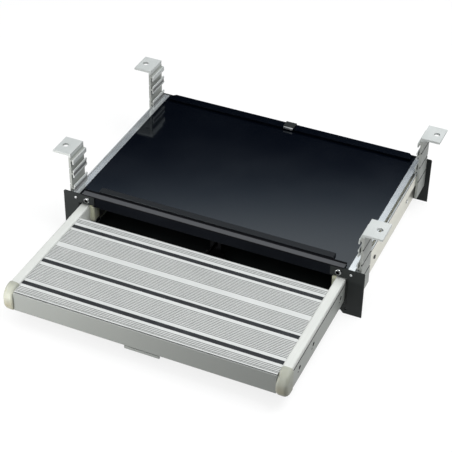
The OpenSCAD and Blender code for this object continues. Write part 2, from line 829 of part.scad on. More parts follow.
module latch_rivets() {
    color(steel) to_mount() for (x = latch_rivet_xs) translate([x, latch_bar_y, bar_top + leaf_t]) {
        rotate_extrude() soft_rect(0, 0, 4, 1.8, [0, 0, 1.5, 0]);
        translate([0, 0, -leaf_t - bar_wall - 1]) cylinder(h = leaf_t + bar_wall + 1.5, r = 2);
    }
}

// Return spring: one helical tube between the rod's collar and the front tie bar
spring_r = rod_d / 2 + 0.9 + spring_wire / 2;
spring_sides = 6;
rings_per_curl = 8;
spring_rings = spring_curls * rings_per_curl;
spring_l = spring_end - spring_y - spring_wire;
function spring_mid(k) = let (a = 360 * k / rings_per_curl)
    [spring_r * cos(a), spring_y + spring_wire / 2 + spring_l * k / spring_rings, rod_z + spring_r * sin(a)];
function spring_ring(k) = let (a = 360 * k / rings_per_curl, c = spring_mid(k))
    [for (j = [0 : spring_sides - 1]) let (b = 360 * j / spring_sides, q = spring_wire / 2)
        c + q * [cos(b) * cos(a), sin(b), cos(b) * sin(a)]];
spring_gap = min([for (k = [0 : spring_rings - rings_per_curl], j = [-1 : 1])
    norm(spring_mid(k + rings_per_curl + j) - spring_mid(k))]) - spring_wire;
echo(str("return spring: least gap between curls ", spring_gap, " mm"));

module return_spring() {
    n = spring_sides;
    points = [for (k = [0 : spring_rings]) each spring_ring(k)];
    last = spring_rings * n;
    tube = [for (k = [0 : spring_rings - 1], j = [0 : n - 1])
        let (a = k * n + j, b = k * n + (j + 1) % n) each [[a, b, b + n], [a, b + n, a + n]]];
    caps = [for (j = [1 : n - 2]) each [[0, j + 1, j], [last, last + j, last + j + 1]]];
    color(steel) to_mount() polyhedron(points, concat(tube, caps));
}

guide_rail(-1);  // guide_rail_left
guide_rail(1);  // guide_rail_right
cover_plate();
cover_strip();
front_cross_member();
rear_cross_member();
bottom_tray();
front_plate(-1);  // front_plate_left
front_plate(1);  // front_plate_right
rear_plate(-1);  // rear_plate_left
rear_plate(1);  // rear_plate_right
front_bush(-1);  // front_bush_left
front_bush(1);  // front_bush_right
wear_strip(-1);  // wear_strip_left
wear_strip(1);  // wear_strip_right
wear_strip_screws();
end_plate_screws();
end_plate_rivets();
rear_catch();
rear_catch_clip();
keeper(0);  // keeper_front
keeper(travel);  // keeper_rear
bracket(-1, front_bracket_y);  // bracket_front_left
bracket(1, front_bracket_y);  // bracket_front_right
bracket(-1, rear_bracket_y);  // bracket_rear_left
bracket(1, rear_bracket_y);  // bracket_rear_right
side_rail(-1);  // side_rail_left
side_rail(1);  // side_rail_right
tread_rear_plank();
tread_front_plank();
rubber_strip(2);  // rubber_strip_rear
rubber_strip(1);  // rubber_strip_middle
rubber_strip(0);  // rubber_strip_front
end_cap(-1);  // end_cap_left
end_cap(1);  // end_cap_right
tie_bar(bar_ys[0], true);  // front_tie_bar
tie_bar(bar_ys[1], true);  // middle_tie_bar
tie_bar(bar_ys[2], true);  // rear_tie_bar
tie_bar(bar_ys[3], false);  // latch_bar
rail_screws();
stop_block(-1);  // stop_block_left
stop_block(1);  // stop_block_right
rear_shoe(-1);  // rear_shoe_left
rear_shoe(1);  // rear_shoe_right
lever_hangers();
lever_pin();
latch_spring();
latch_rivets();
return_spring();
release_lever();
push_rod();
release_wedge();
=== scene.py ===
import json
import math

import bmesh
import bpy
from mathutils import Matrix, Vector


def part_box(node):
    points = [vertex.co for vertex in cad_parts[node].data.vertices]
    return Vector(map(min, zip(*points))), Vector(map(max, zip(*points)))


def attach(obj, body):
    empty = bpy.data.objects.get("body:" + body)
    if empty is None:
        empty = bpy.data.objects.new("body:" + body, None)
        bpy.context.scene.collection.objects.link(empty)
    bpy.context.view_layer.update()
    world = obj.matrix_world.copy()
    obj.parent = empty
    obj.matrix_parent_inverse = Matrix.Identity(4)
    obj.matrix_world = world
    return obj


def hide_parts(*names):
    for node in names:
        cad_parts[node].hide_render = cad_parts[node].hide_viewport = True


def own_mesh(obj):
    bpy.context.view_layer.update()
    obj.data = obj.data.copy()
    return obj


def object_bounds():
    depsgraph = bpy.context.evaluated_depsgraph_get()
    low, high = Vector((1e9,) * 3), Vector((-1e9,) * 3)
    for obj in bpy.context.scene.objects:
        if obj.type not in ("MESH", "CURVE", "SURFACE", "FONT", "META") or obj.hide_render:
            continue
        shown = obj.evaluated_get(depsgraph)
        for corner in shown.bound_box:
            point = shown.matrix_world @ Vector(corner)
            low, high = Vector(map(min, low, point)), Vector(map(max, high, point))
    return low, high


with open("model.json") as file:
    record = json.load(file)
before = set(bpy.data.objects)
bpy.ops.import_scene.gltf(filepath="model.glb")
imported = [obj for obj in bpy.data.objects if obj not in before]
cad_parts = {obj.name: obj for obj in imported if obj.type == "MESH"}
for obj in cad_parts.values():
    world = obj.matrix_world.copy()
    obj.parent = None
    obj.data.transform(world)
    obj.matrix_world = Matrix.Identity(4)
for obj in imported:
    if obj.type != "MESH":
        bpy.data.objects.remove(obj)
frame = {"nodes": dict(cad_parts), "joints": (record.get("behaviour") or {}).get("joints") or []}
cadLow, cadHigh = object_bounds()
cadNodes = frame["nodes"]
scene = bpy.context.scene
scene.view_settings.view_transform = "Standard"
mm = 0.001
near = 0.01 * mm  # points closer than this count as one
print("frame loaded with", len(cadNodes), "nodes")


# Middle of the line where the tread's top meets the housing's front: camera and tones are placed from it
mouthMiddle = Vector((0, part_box("front_plate_left")[0].y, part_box("tread_rear_plank")[1].z))

cameraView = {
    "azimuth": 23.62,  # degrees round to the right of straight ahead
    "elevation": 37.14,
    "roll": 0.91,
    "distance": 2.755,  # metres back from mouthMiddle
    "aside": 0.0356,
    "above": 0.0330,
    "lens": 108.32,  # mm, on the sensor below, for a square picture
    "sensor": 36.0,
    "reach": 60.0,  # metres, past the far edge of the floor
}


def placeCamera(v):
    azimuth, elevation, roll = (math.radians(v[k]) for k in ("azimuth", "elevation", "roll"))
    back = Vector((math.sin(azimuth) * math.cos(elevation), -math.cos(azimuth) * math.cos(elevation),
                   math.sin(elevation)))
    level = Vector((math.cos(azimuth), math.sin(azimuth), 0))
    upright = back.cross(level)
    right = math.cos(roll) * level + math.sin(roll) * upright
    up = math.cos(roll) * upright - math.sin(roll) * level
    data = bpy.data.cameras.new("viewCamera")
    data.sensor_width = v["sensor"]
    data.lens = v["lens"]
    data.clip_end = v["reach"]
    camera = bpy.data.objects.new("viewCamera", data)
    place = Matrix((right, up, back)).transposed().to_4x4()
    place.translation = mouthMiddle + v["distance"] * back + v["aside"] * right + v["above"] * up
    camera.matrix_world = place
    scene.collection.objects.link(camera)
    scene.camera = camera


placeCamera(cameraView)
print("camera placed")


# Small helpers for node trees: an input takes a socket or a plain value
def setInputs(tree, node, inputs):
    for key, value in inputs.items():
        if isinstance(value, bpy.types.NodeSocket):
            tree.links.new(value, node.inputs[key])
        else:
            node.inputs[key].default_value = value


def addNode(tree, kind, inputs, **settings):
    node = tree.nodes.new(kind)
    for key, value in settings.items():
        setattr(node, key, value)
    setInputs(tree, node, inputs)
    return node


def findNode(tree, kind):
    return next(n for n in tree.nodes if n.type == kind)


def mathNode(tree, operation, *values):
    return addNode(tree, "ShaderNodeMath", dict(enumerate(values)), operation=operation).outputs[0]


def mixColour(tree, factor, first, second):
    first, second = (c if isinstance(c, bpy.types.NodeSocket) else (*c, 1) for c in (first, second))
    return addNode(tree, "ShaderNodeMix", {0: factor, 6: first, 7: second}, data_type="RGBA").outputs[2]


def mixValue(tree, factor, first, second):
    return addNode(tree, "ShaderNodeMix", {0: factor, 2: first, 3: second}, data_type="FLOAT").outputs[0]


def remap(tree, value, low, high, toLow=0.0, toHigh=1.0):
    return addNode(tree, "ShaderNodeMapRange", {0: value, 1: low, 2: high, 3: toLow, 4: toHigh}).outputs[0]


def noiseCloud(tree, vector, scale, detail, rough=0.5):
    inputs = {"Vector": vector, "Scale": scale, "Detail": detail, "Roughness": rough}
    return addNode(tree, "ShaderNodeTexNoise", inputs).outputs[0]


def splitVector(tree, vector):
    return addNode(tree, "ShaderNodeSeparateXYZ", {0: vector}).outputs


def newGroup(name, vectors, values, results):
    group = bpy.data.node_groups.new(name, "ShaderNodeTree")
    for keys, way, kind in ((vectors, "INPUT", "NodeSocketVector"), (values, "INPUT", "NodeSocketFloat"),
                            (results, "OUTPUT", "NodeSocketFloat")):
        for key in keys:
            group.interface.new_socket(key, in_out=way, socket_type=kind)
    return group, group.nodes.new("NodeGroupInput").outputs, group.nodes.new("NodeGroupOutput")


def useGroup(tree, group, inputs):
    return addNode(tree, "ShaderNodeGroup", inputs, node_tree=group).outputs


# Lines that the die leaves along an extrusion; the vector comes in already stretched
grainLook = {"broad": 1.0, "fine": 4.5, "broadShare": 0.5, "fineShare": 0.5, "darkest": 0.32,
             "lightest": 0.68}


def makeDrawnGrain(g):
    group, given, out = newGroup("drawnGrain", ["Vector"], [], ["Streak", "Height"])
    broad = noiseCloud(group, given["Vector"], g["broad"], detail=3.0, rough=0.6)
    fine = noiseCloud(group, given["Vector"], g["fine"], detail=2.0, rough=0.7)
    base = mathNode(group, "MULTIPLY", broad, g["broadShare"])
    both = mathNode(group, "MULTIPLY_ADD", fine, g["fineShare"], base)
    setInputs(group, out, {"Streak": remap(group, both, g["darkest"], g["lightest"]), "Height": fine})
    return group


# Slow change of a value over a surface, between two levels
driftLook = {"detail": 4.0, "rough": 0.55, "lowest": 0.3, "highest": 0.7}


def makeSurfaceDrift(d):
    group, given, out = newGroup("surfaceDrift", ["Vector"], ["Scale", "Low", "High"], ["Value", "Mask"])
    cloud = noiseCloud(group, given["Vector"], given["Scale"], d["detail"], d["rough"])
    mask = remap(group, cloud, d["lowest"], d["highest"])
    spread = mathNode(group, "SUBTRACT", given["High"], given["Low"])
    value = mathNode(group, "MULTIPLY_ADD", mask, spread, given["Low"])
    setInputs(group, out, {"Value": value, "Mask": mask})
    return group


# Bright rub along sharp edges, broken up by a fine cloud
rubLook = {"samples": 4, "flat": 0.99, "sharp": 0.8, "cloud": 180.0, "detail": 3.0, "sparse": 0.38,
           "dense": 0.62, "least": 0.25}


def makeEdgeRub(r):
    group, given, out = newGroup("edgeRub", ["Vector"], ["Radius"], ["Mask"])
    rounded = addNode(group, "ShaderNodeBevel", {"Radius": given["Radius"]}, samples=r["samples"]).outputs[0]
    facing = addNode(group, "ShaderNodeNewGeometry", {}).outputs["Normal"]
    alike = addNode(group, "ShaderNodeVectorMath", {0: rounded, 1: facing}, operation="DOT_PRODUCT")
    edge = remap(group, alike.outputs["Value"], r["flat"], r["sharp"])
    cloud = noiseCloud(group, given["Vector"], r["cloud"], r["detail"])
    broken = remap(group, cloud, r["sparse"], r["dense"], toLow=r["least"])
    setInputs(group, out, {"Mask": mathNode(group, "MULTIPLY", edge, broken)})
    return group


# Orange-peel skin of a baked coat, and of nylon and rubber at a finer scale
peelLook = {"cloudScale": 0.45, "detail": 2.0, "cellShare": 0.6, "cloudShare": 0.7, "fleckFrom": 0.55,
            "fleckFull": 0.75}


def makeCoatPeel(p):
    group, given, out = newGroup("coatPeel", ["Vector"], ["Scale"], ["Height", "Fleck"])
    cells = addNode(group, "ShaderNodeTexVoronoi", {"Vector": given["Vector"], "Scale": given["Scale"]},
                    feature="SMOOTH_F1").outputs["Distance"]
    coarser = mathNode(group, "MULTIPLY", given["Scale"], p["cloudScale"])
    cloud = noiseCloud(group, given["Vector"], coarser, p["detail"])
    swell = mathNode(group, "MULTIPLY", cloud, p["cloudShare"])
    height = mathNode(group, "MULTIPLY_ADD", cells, p["cellShare"], swell)
    setInputs(group, out, {"Height": height, "Fleck": remap(group, cloud, p["fleckFrom"], p["fleckFull"])})
    return group


# One inside a box, the same on the left and on the right
def makeInsideBox():
    group, given, out = newGroup("insideBox", ["Vector", "Low", "High"], [], ["Mask"])
    at, low, high = (splitVector(group, given[k]) for k in ("Vector", "Low", "High"))
    across = mathNode(group, "ABSOLUTE", at["X"])
    mask = 1.0
    for axis, value in (("X", across), ("Y", at["Y"]), ("Z", at["Z"])):
        above = mathNode(group, "GREATER_THAN", value, low[axis])
        below = mathNode(group, "LESS_THAN", value, high[axis])
        mask = mathNode(group, "MULTIPLY", mathNode(group, "MULTIPLY", above, below), mask)
    setInputs(group, out, {"Mask": mask})
    return group


# One in the core of a round column along Y, fading to its radius, the same on the left and on the right
def makeInsideDisc():
    group, given, out = newGroup("insideDisc", ["Vector", "Middle"], ["Radius", "Core"], ["Mask"])
    at, middle = (splitVector(group, given[k]) for k in ("Vector", "Middle"))
    across = mathNode(group, "SUBTRACT", mathNode(group, "ABSOLUTE", at["X"]), middle["X"])
    up = mathNode(group, "SUBTRACT", at["Z"], middle["Z"])
    flat = addNode(group, "ShaderNodeCombineXYZ", {"X": across, "Z": up}).outputs[0]
    away = addNode(group, "ShaderNodeVectorMath", {0: flat}, operation="LENGTH").outputs["Value"]
    setInputs(group, out, {"Mask": remap(group, away, given["Radius"], given["Core"])})
    return group


drawnGrain = makeDrawnGrain(grainLook)
surfaceDrift = makeSurfaceDrift(driftLook)
edgeRub = makeEdgeRub(rubLook)
coatPeel = makeCoatPeel(peelLook)
insideBox = makeInsideBox()
insideDisc = makeInsideDisc()
print("shared effects built")


def newFinish(name):
    material = bpy.data.materials.new(name)
    material.use_nodes = True
    tree = material.node_tree
    place = addNode(tree, "ShaderNodeTexCoord", {}).outputs["Object"]
    return material, tree, findNode(tree, "BSDF_PRINCIPLED"), place


def driftOver(tree, place, scale, levels):
    inputs = {"Vector": place, "Scale": scale, "Low": levels[0], "High": levels[1]}
    return useGroup(tree, surfaceDrift, inputs)


def bump(tree, height, strength, distance):
    inputs = {"Height": height, "Strength": strength, "Distance": distance}
    return addNode(tree, "ShaderNodeBump", inputs).outputs[0]


# Drawn and anodised aluminium: dark streak, light streak and rubbed edge, lowest and highest roughness
alloyFinishes = {
    "guideAlloy": {"along": "Y", "dark": (0.65, 0.685, 0.70), "light": (0.77, 0.80, 0.81),
                   "edge": (0.86, 0.88, 0.89), "rough": (0.09, 0.15), "metal": 0.74, "grain": 0.04},
    "railAlloy": {"along": "Y", "dark": (0.62, 0.635, 0.605), "light": (0.71, 0.725, 0.695),
                  "edge": (0.78, 0.79, 0.77), "rough": (0.42, 0.52), "metal": 0.12, "grain": 0.05},
    "bracketAlloy": {"along": "Y", "dark": (0.52, 0.545, 0.535), "light": (0.64, 0.665, 0.655),
                     "edge": (0.78, 0.79, 0.77), "rough": (0.42, 0.54), "metal": 0.20, "grain": 0.08},
    "barAlloy": {"along": "X", "dark": (0.52, 0.54, 0.53), "light": (0.63, 0.65, 0.64),
                 "edge": (0.75, 0.76, 0.75), "rough": (0.40, 0.52), "metal": 0.25, "grain": 0.05},
    "treadAlloy": {"along": "X", "dark": (0.58, 0.595, 0.585), "light": (0.66, 0.675, 0.665),
                   "edge": (0.74, 0.75, 0.74), "rough": (0.44, 0.54), "metal": 0.12, "grain": 0.02},
}
alloyWear = {"drift": 14.0, "driftShare": 0.45, "streakShare": 0.55, "streakRough": 0.06, "edge": 0.5 * mm,
             "rub": 0.6, "grainDepth": 0.2 * mm}
grainStretch = {"X": (6.0, 900.0, 900.0), "Y": (900.0, 6.0, 900.0)}  # long lines along, fine across


def drawnAlloy(name, f):
    material, tree, shader, place = newFinish(name)
    stretch = {"Vector": place, "Scale": grainStretch[f["along"]]}
    grain = useGroup(tree, drawnGrain, {"Vector": addNode(tree, "ShaderNodeMapping", stretch).outputs[0]})
    drift = driftOver(tree, place, alloyWear["drift"], f["rough"])
    rub = useGroup(tree, edgeRub, {"Vector": place, "Radius": alloyWear["edge"]})
    slow = mathNode(tree, "MULTIPLY", drift["Mask"], alloyWear["driftShare"])
    tone = mathNode(tree, "MULTIPLY_ADD", grain["Streak"], alloyWear["streakShare"], slow)
    body = mixColour(tree, tone, f["dark"], f["light"])
    rubbed = mathNode(tree, "MULTIPLY", rub["Mask"], alloyWear["rub"])
    rough = mathNode(tree, "MULTIPLY_ADD", grain["Streak"], alloyWear["streakRough"], drift["Value"])
    setInputs(tree, shader, {
        "Base Color": mixColour(tree, rubbed, body, f["edge"]),
        "Roughness": rough,
        "Metallic": f["metal"],
        "Normal": bump(tree, grain["Height"], f["grain"], alloyWear["grainDepth"]),
    })
    return material


# Black sheet: the smooth cover and rear member, the cover's strip, and the coarser plates and front member
coatFinishes = {
    "coverCoat": {"deep": (0.0006, 0.0012, 0.0030), "worn": (0.0014, 0.0022, 0.0042),
                  "edge": (0.03, 0.033, 0.037), "rough": (0.07, 0.10), "gloss": 0.50,
                  "tint": (0.80, 0.91, 1.0), "peel": 420.0, "bump": 0.010},
    "lipCoat": {"deep": (0.003, 0.004, 0.006), "worn": (0.006, 0.007, 0.009),
                "edge": (0.03, 0.032, 0.035), "rough": (0.34, 0.42), "gloss": 0.30,
                "tint": (0.9, 0.97, 1.0), "peel": 900.0, "bump": 0.06},
    "plateCoat": {"deep": (0.013, 0.0155, 0.016), "worn": (0.025, 0.0285, 0.028),
                  "edge": (0.07, 0.074, 0.074), "rough": (0.40, 0.55), "gloss": 0.18,
                  "tint": (1.0, 1.0, 1.0), "peel": 900.0, "bump": 0.12},
    "memberCoat": {"deep": (0.003, 0.004, 0.0065), "worn": (0.006, 0.0075, 0.011),
                   "edge": (0.05, 0.052, 0.055), "rough": (0.36, 0.46), "gloss": 0.06,
                   "tint": (1.0, 1.0, 1.0), "peel": 900.0, "bump": 0.10},
}
coatWear = {"drift": 7.0, "fleck": 0.2, "edge": 0.6 * mm, "rub": 0.7, "peelDepth": 0.15 * mm}


def bakedCoat(name, f):
    material, tree, shader, place = newFinish(name)
    peel = useGroup(tree, coatPeel, {"Vector": place, "Scale": f["peel"]})
    drift = driftOver(tree, place, coatWear["drift"], f["rough"])
    rub = useGroup(tree, edgeRub, {"Vector": place, "Radius": coatWear["edge"]})
    body = mixColour(tree, drift["Mask"], f["deep"], f["worn"])
    flecked = mixColour(tree, mathNode(tree, "MULTIPLY", peel["Fleck"], coatWear["fleck"]), body, f["worn"])
    rubbed = mathNode(tree, "MULTIPLY", rub["Mask"], coatWear["rub"])
    setInputs(tree, shader, {
        "Base Color": mixColour(tree, rubbed, flecked, f["edge"]),
        "Roughness": drift["Value"],
        "Specular IOR Level": f["gloss"],
        "Specular Tint": (*f["tint"], 1),
        "Normal": bump(tree, peel["Height"], f["bump"], coatWear["peelDepth"]),
    })
    return material


# Moulded nylon: cream caps, shoes and wear strips, stop blocks made paler as painted light, black bushes,
# keepers and wedge
nylonFinishes = {
    "ivoryNylon": {"shade": (0.34, 0.35, 0.295), "light": (0.41, 0.42, 0.365),
                   "rough": (0.44, 0.56), "gloss": 0.35, "glow": 0.30},
    # the stop blocks' copy of the cream nylon, paler as painted light for the light they lack inside the
    # mouth
    "blockNylon": {"shade": (0.62, 0.62, 0.47), "light": (0.74, 0.74, 0.58),
                   "rough": (0.44, 0.56), "gloss": 0.35, "glow": 0.30},
    "blackNylon": {"shade": (0.0012, 0.0012, 0.0014), "light": (0.0024, 0.0025, 0.0028),
                   "rough": (0.46, 0.60), "gloss": 0.15, "glow": 0.0},
}
nylonSkin = {"drift": 22.0, "peel": 1300.0, "bump": 0.1, "peelDepth": 0.1 * mm,
             "glowRadius": (1.0, 0.95, 0.70), "glowDepth": 6 * mm}


def mouldedNylon(name, f):
    material, tree, shader, place = newFinish(name)
    peel = useGroup(tree, coatPeel, {"Vector": place, "Scale": nylonSkin["peel"]})
    drift = driftOver(tree, place, nylonSkin["drift"], f["rough"])
    setInputs(tree, shader, {
        "Base Color": mixColour(tree, drift["Mask"], f["shade"], f["light"]),
        "Roughness": drift["Value"],
        "Specular IOR Level": f["gloss"],
        "Subsurface Weight": f["glow"],
        "Subsurface Radius": nylonSkin["glowRadius"],
        "Subsurface Scale": nylonSkin["glowDepth"],
        "Normal": bump(tree, peel["Height"], nylonSkin["bump"], nylonSkin["peelDepth"]),
    })
    return material


# Grip strips of the tread: black rubber, chalky in places
rubberFinish = {"deep": (0.015, 0.017, 0.020), "chalk": (0.036, 0.039, 0.043), "rough": (0.62, 0.78),
                "gloss": 0.3, "drift": 40.0, "peel": 1600.0, "bump": 0.2, "peelDepth": 0.12 * mm}


def gripRubber(name, f):
    material, tree, shader, place = newFinish(name)
    peel = useGroup(tree, coatPeel, {"Vector": place, "Scale": f["peel"]})
    drift = driftOver(tree, place, f["drift"], f["rough"])
    setInputs(tree, shader, {
        "Base Color": mixColour(tree, drift["Mask"], f["deep"], f["chalk"]),
        "Roughness": drift["Value"],
        "Specular IOR Level": f["gloss"],
        "Normal": bump(tree, peel["Height"], f["bump"], f["peelDepth"]),
    })
    return material


# Plated and dark steel: screws, rivets, pins, rod and springs
steelFinishes = {
    "zincSteel": {"shade": (0.50, 0.51, 0.52), "light": (0.72, 0.73, 0.73), "rough": (0.24, 0.38),
                  "spangle": 160.0},
    "screwSteel": {"shade": (0.26, 0.27, 0.27), "light": (0.42, 0.43, 0.43), "rough": (0.20, 0.30),
                   "spangle": 200.0},
    "springSteel": {"shade": (0.006, 0.0062, 0.007), "light": (0.012, 0.0124, 0.0135), "rough": (0.38, 0.50),
                    "spangle": 260.0},
}
steelSkin = {"metal": 1.0, "drift": 60.0, "driftShare": 0.6, "spangleShare": 0.4, "bump": 0.05,
             "depth": 0.1 * mm}


def platedSteel(name, f):
    material, tree, shader, place = newFinish(name)
    spangle = addNode(tree, "ShaderNodeTexVoronoi", {"Vector": place, "Scale": f["spangle"]}).outputs["Color"]
    tint = addNode(tree, "ShaderNodeSeparateColor", {0: spangle}).outputs[0]
    drift = driftOver(tree, place, steelSkin["drift"], f["rough"])
    slow = mathNode(tree, "MULTIPLY", drift["Mask"], steelSkin["driftShare"])
    tone = mathNode(tree, "MULTIPLY_ADD", tint, steelSkin["spangleShare"], slow)
    setInputs(tree, shader, {
        "Base Color": mixColour(tree, tone, f["shade"], f["light"]),
        "Roughness": drift["Value"],
        "Metallic": steelSkin["metal"],
        "Normal": bump(tree, drift["Mask"], steelSkin["bump"], steelSkin["depth"]),
    })
    return material


finishes = {name: drawnAlloy(name, f) for name, f in alloyFinishes.items()}
finishes.update({name: bakedCoat(name, f) for name, f in coatFinishes.items()})
finishes.update({name: platedSteel(name, f) for name, f in steelFinishes.items()})
finishes.update({name: mouldedNylon(name, f) for name, f in nylonFinishes.items()})
finishes["stripRubber"] = gripRubber("stripRubber", rubberFinish)

# Tones that sit in one place on a finish, nearly all of them painted shade or painted light. A box is in
# millimetres from mouthMiddle, the same on both sides;
# with an axis, only the round column along y inside the box takes the tone
# Near-blacks for painted shade and painted shadow in gaps, grooves, holes and sockets; grooveBlack also
# darkens some screws
gapShadowBlack = (0.0005, 0.0005, 0.0008)
socketBlack = (0.004, 0.004, 0.004)
grooveBlack = (0.02, 0.02, 0.02)
paintedShadeBlack = (0.03, 0.03, 0.03)
placedTones = {
    "treadAlloy": [
        {"low": (0, -302.7, -2.2), "high": (276, -39.5, -0.3),
         "share": 0.88, "colour": (0.10, 0.105, 0.10)},  # painted shade in the grooves between the ribs
        {"low": (0, -304.5, -45), "high": (276, -302.9, 0.1),
         "share": 0.85, "colour": (0.155, 0.166, 0.155)},  # painted shade on the front face
    ],
    "railAlloy": [
        {"low": (276.5, -290, -53.5), "high": (294.8, 120, 0),
         "share": 0.95, "colour": grooveBlack},  # painted shade inside the tube and in its groove
        {"low": (294.9, -290, -56), "high": (296, 120, -5),
         "share": 0.7, "colour": (0.25, 0.265, 0.245)},  # painted shade on the outer face
        {"low": (270, 27, -60), "high": (275.5, 120, 6),
         "share": 0.9, "colour": paintedShadeBlack},  # painted shade on the inner face behind the stop block
    ],
    "barAlloy": [
        {"low": (-1, -303, -56), "high": (40, -292, -42),
         "share": 0.85, "colour": (0.18, 0.192, 0.18)},  # painted shade on the lever's front, like the tread's front face
    ],
    "guideAlloy": [
        {"low": (302, -1, -80), "high": (318, 436, 21), "share": 0.9, "colour": (0.70, 0.69, 0.61),
         "metal": 0.9, "rough": 0.45},  # outer wall: a cream tint and more roughness as painted reflection of the bright light from the right
        {"low": (316.2, -1, 21), "high": (317.5, 436, 23.8),
         "share": 0.95, "colour": grooveBlack},  # painted shadow line along its top
    ],
    "bracketAlloy": [
        {"low": (314, -20, -60), "high": (323.6, 460, 108),
         "share": 0.8, "colour": (0.34, 0.355, 0.33)},  # painted shade on the web's outer face
        *({"low": (321, -20, z - 0.1), "high": (322.9, 460, z + 3.7),
           "share": 0.95, "colour": paintedShadeBlack} for z in (2.9, 39.9, 76.9)),  # painted shade in the web grooves
        *({"low": (311.7, -20, z - 4.1), "high": (312.9, 460, z + 4.1),
           "share": 0.8, "colour": (0.10, 0.10, 0.10)} for z in (-5.5, 31.5, 68.5)),  # painted shade in the hook grooves
    ],
    "screwSteel": [
        {"low": (270, -5, 10), "high": (290, 440, 30), "axis": (279, 0, 18.7), "radius": radius,
         "core": radius - 0.3, "share": 0.9, "colour": colour}
        for radius, colour in ((4.6, grooveBlack), (2.95, socketBlack))  # painted shade over the head inside its rim, then deeper in its socket
    ],
    "ivoryNylon": [
        {"low": (270, -320, -60), "high": (300, -283, 8), "axis": (286, 0, -32), "radius": 19, "core": 4,
         "share": 0.55, "colour": (0.24, 0.21, 0.14)},  # painted shade on the thick middle of the caps, for the light that their thin rims let through
    ],
    "zincSteel": [
        {"low": (302, 150, -60), "high": (306, 175, -45),
         "share": 0.95, "colour": grooveBlack},  # screws in the guide's wall near its front, darkened almost black
    ],
    "plateCoat": [
        {"low": (299.3, -0.5, -54), "high": (300.6, 0.3, 8),
         "share": 0.95, "colour": gapShadowBlack},  # painted shadow line beside the rail, for the shaded gap at the plate's edge
        {"low": (291, -0.5, -55.2), "high": (300.6, 0.3, -54),
         "share": 0.95, "colour": gapShadowBlack},  # painted shadow at its foot
        {"low": (290, -0.5, -75), "high": (310, 0.3, -60), "axis": (299, 0, -68), "radius": 2.8, "core": 2.4,
         "share": 0.95, "colour": gapShadowBlack},  # painted shade for a hole under that line
    ],
    "memberCoat": [
        {"low": (-1, -1, 31.9), "high": (290, 12.6, 33),
         "share": 0.85, "colour": (0.090, 0.093, 0.099)},  # painted sheen on the front of the top
        {"low": (-1, 12.6, 31.9), "high": (290, 24, 33),
         "share": 0.95, "colour": (0.001, 0.001, 0.002)},  # painted shadow on its rear, next to the cover's strip
        {"low": (-1, -1, 29), "high": (290, 1.3, 31.9),
         "share": 0.9, "colour": (0.004, 0.004, 0.005)},  # shaded edge
    ],
}


def layTones(material, tones):
    tree = material.node_tree
    shader = findNode(tree, "BSDF_PRINCIPLED")
    place = findNode(tree, "TEX_COORD").outputs["Object"]
    for t in tones:
        low, high = (Vector(t[k]) * mm + mouthMiddle for k in ("low", "high"))
        mask = useGroup(tree, insideBox, {"Vector": place, "Low": low, "High": high})["Mask"]
        if "axis" in t:
            column = {"Vector": place, "Middle": Vector(t["axis"]) * mm + mouthMiddle,
                      "Radius": t["radius"] * mm, "Core": t["core"] * mm}
            mask = mathNode(tree, "MULTIPLY", mask, useGroup(tree, insideDisc, column)["Mask"])
        untoned = shader.inputs["Base Color"].links[0].from_socket
        laid = mathNode(tree, "MULTIPLY", mask, t["share"])
        setInputs(tree, shader, {"Base Color": mixColour(tree, laid, untoned, t["colour"])})
        for key, socket in (("metal", "Metallic"), ("rough", "Roughness")):
            if key in t:
                plain = shader.inputs[socket]
                before = plain.links[0].from_socket if plain.links else plain.default_value
                setInputs(tree, shader, {socket: mixValue(tree, mask, before, t[key])})


for name, tones in placedTones.items():
    layTones(finishes[name], tones)

# Which pieces have each finish, by the start of their names: the longest start counts
finishStarts = {
    "guideAlloy": ["guide_rail"],
    "railAlloy": ["side_rail"],
    "bracketAlloy": ["bracket"],
    "treadAlloy": ["tread"],
    "barAlloy": ["front_tie", "middle_tie", "rear_tie", "latch_bar", "release_lever"],
    "coverCoat": ["cover", "rear_cross"],
    "lipCoat": ["cover_strip"],
    "plateCoat": ["bottom_tray", "front_plate", "rear_plate", "rear_catch_clip"],
    "memberCoat": ["front_cross"],
    "ivoryNylon": ["wear_strip", "end_cap", "rear_shoe"],
    "blockNylon": ["stop_block"],
    "blackNylon": ["front_bush", "keeper", "release_wedge"],
    "stripRubber": ["rubber"],
    "zincSteel": ["rear_catch", "wear_strip_screws", "end_plate_rivets", "lever_hangers", "lever_pin"],
    "screwSteel": ["end_plate_screws"],
    "springSteel": ["rail_screws", "latch_spring", "latch_rivets", "return_spring", "push_rod"],
}
finishByStart = {start: finish for finish, starts in finishStarts.items() for start in starts}
for name, piece in cadNodes.items():
    start = max((s for s in finishByStart if name.startswith(s)), key=len)
    piece.data.materials.clear()
    piece.data.materials.append(finishes[finishByStart[start]])
print("finishes set:", len(finishes))


# Small helpers for meshes
def meshObject(name, bm, material):
    mesh = bpy.data.meshes.new(name)
    bm.to_mesh(mesh)
    bm.free()
    mesh.materials.append(material)
    made = bpy.data.objects.new(name, mesh)
    scene.collection.objects.link(made)
    return made


def addPiece(name, bm, finish, body, stands=()):
    piece = meshObject(name, bm, finishes[finish])
    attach(piece, body)
    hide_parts(*stands)
    return piece


def pullOut(bm, faces, way):
    made = bmesh.ops.extrude_face_region(bm, geom=faces)["geom"]
    bmesh.ops.translate(bm, verts=[g for g in made if isinstance(g, bmesh.types.BMVert)], vec=way)


def roundOff(bm, edges, radius, steps):
    bmesh.ops.bevel(bm, geom=edges, offset=radius, offset_type="OFFSET", segments=steps, profile=0.5,
                    affect="EDGES", material=-1, clamp_overlap=True)


# Return spring on the push rod: a coil with closed end turns
returnCoil = {"wire": 1.2 * mm, "stroke": 3.4 * mm, "curls": 8, "closedShare": 0.75, "closedPitch": 1.02,
              "stepsPerCurl": 28, "wireSides": 12}


